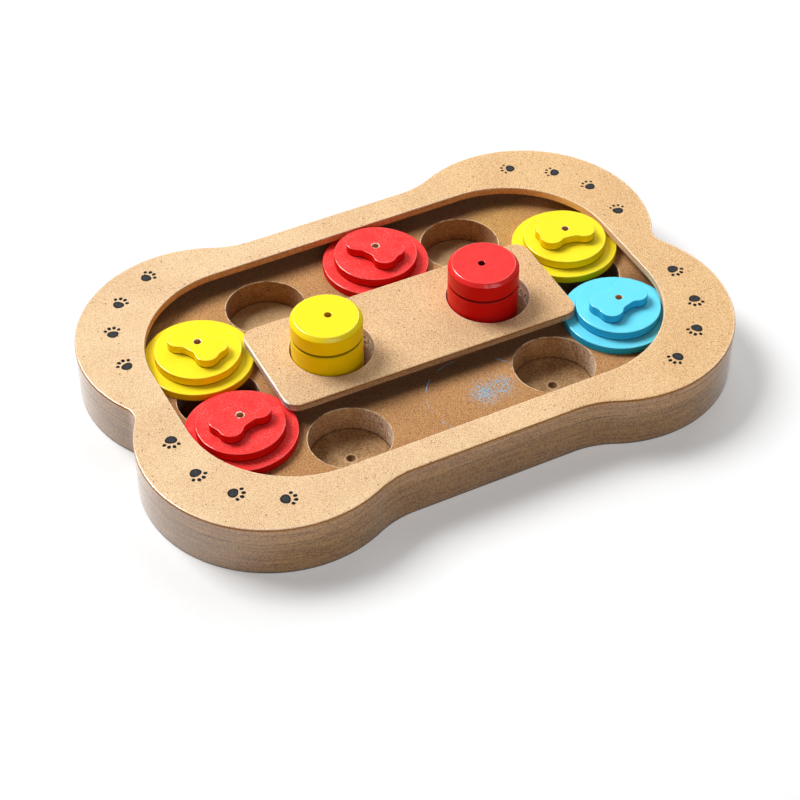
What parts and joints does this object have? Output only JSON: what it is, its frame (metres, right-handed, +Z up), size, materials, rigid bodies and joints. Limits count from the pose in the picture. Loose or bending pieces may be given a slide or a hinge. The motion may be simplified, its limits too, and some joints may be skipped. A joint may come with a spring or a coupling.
{
  "type": "treat puzzle board",
  "caption": "Bone-shaped wooden treat puzzle with drilled wells, an undercut channel holding sliding discs with bone grips, and a centre bridge with lift-out pegs.",
  "frame": {"origin": "middle of the board's underside", "axes": "+Z up, +X along the board towards the blue slider's end"},
  "size_m": [0.3116, 0.2064, 0.051],
  "materials": {
    "board_face": "smooth sanded fibreboard face",
    "board_core": "cut fibreboard, darker than the face",
    "yellow_paint": "glossy yellow paint on wood",
    "red_paint": "glossy red paint on wood",
    "blue_paint": "glossy light blue paint on wood"
  },
  "bodies": {
    "board": {"base_board": "board_core", "channel_ring": "board_core", "top_frame": "board_face", "bridge_riser": "board_core", "bridge_plank": "board_face"},
    "yellow_left_slider": {"yellow_left_plate": "yellow_paint", "yellow_left_disc": "yellow_paint", "yellow_left_grip": "yellow_paint"},
    "red_left_slider": {"red_left_plate": "red_paint", "red_left_disc": "red_paint", "red_left_grip": "red_paint"},
    "red_far_slider": {"red_far_plate": "red_paint", "red_far_disc": "red_paint", "red_far_grip": "red_paint"},
    "yellow_right_slider": {"yellow_right_plate": "yellow_paint", "yellow_right_disc": "yellow_paint", "yellow_right_grip": "yellow_paint"},
    "blue_right_slider": {"blue_right_plate": "blue_paint", "blue_right_disc": "blue_paint", "blue_right_grip": "blue_paint"},
    "yellow_peg": {"yellow_peg": "yellow_paint"},
    "red_peg": {"red_peg": "red_paint"}
  },
  "joints": [
    {"name": "yellow_left_swing", "type": "hinge", "parent": "board", "child": "yellow_left_slider", "pos_m": [-0.06996, 0.02255, 0.0212], "axis": [0, 0, 1], "range_deg": [-32, 0]},
    {"name": "red_left_swing", "type": "hinge", "parent": "board", "child": "red_left_slider", "pos_m": [-0.07043, -0.02305, 0.0212], "axis": [0, 0, 1], "range_deg": [0, 82]},
    {"name": "yellow_right_swing", "type": "hinge", "parent": "board", "child": "yellow_right_slider", "pos_m": [0.07383, 0.02105, 0.0212], "axis": [0, 0, 1], "range_deg": [0, 42]},
    {"name": "blue_right_swing", "type": "hinge", "parent": "board", "child": "blue_right_slider", "pos_m": [0.07336, -0.02455, 0.0212], "axis": [0, 0, 1], "range_deg": [-65, 6]},
    {"name": "red_far_slide", "type": "slide", "parent": "board", "child": "red_far_slider", "axis": [1, 0, 0], "range_m": [-0.045, 0.028]},
    {"name": "yellow_peg_lift", "type": "slide", "parent": "board", "child": "yellow_peg", "axis": [0, 0, 1], "range_m": [0, 0.05]},
    {"name": "red_peg_lift", "type": "slide", "parent": "board", "child": "red_peg", "axis": [0, 0, 1], "range_m": [0, 0.05]}
  ]
}
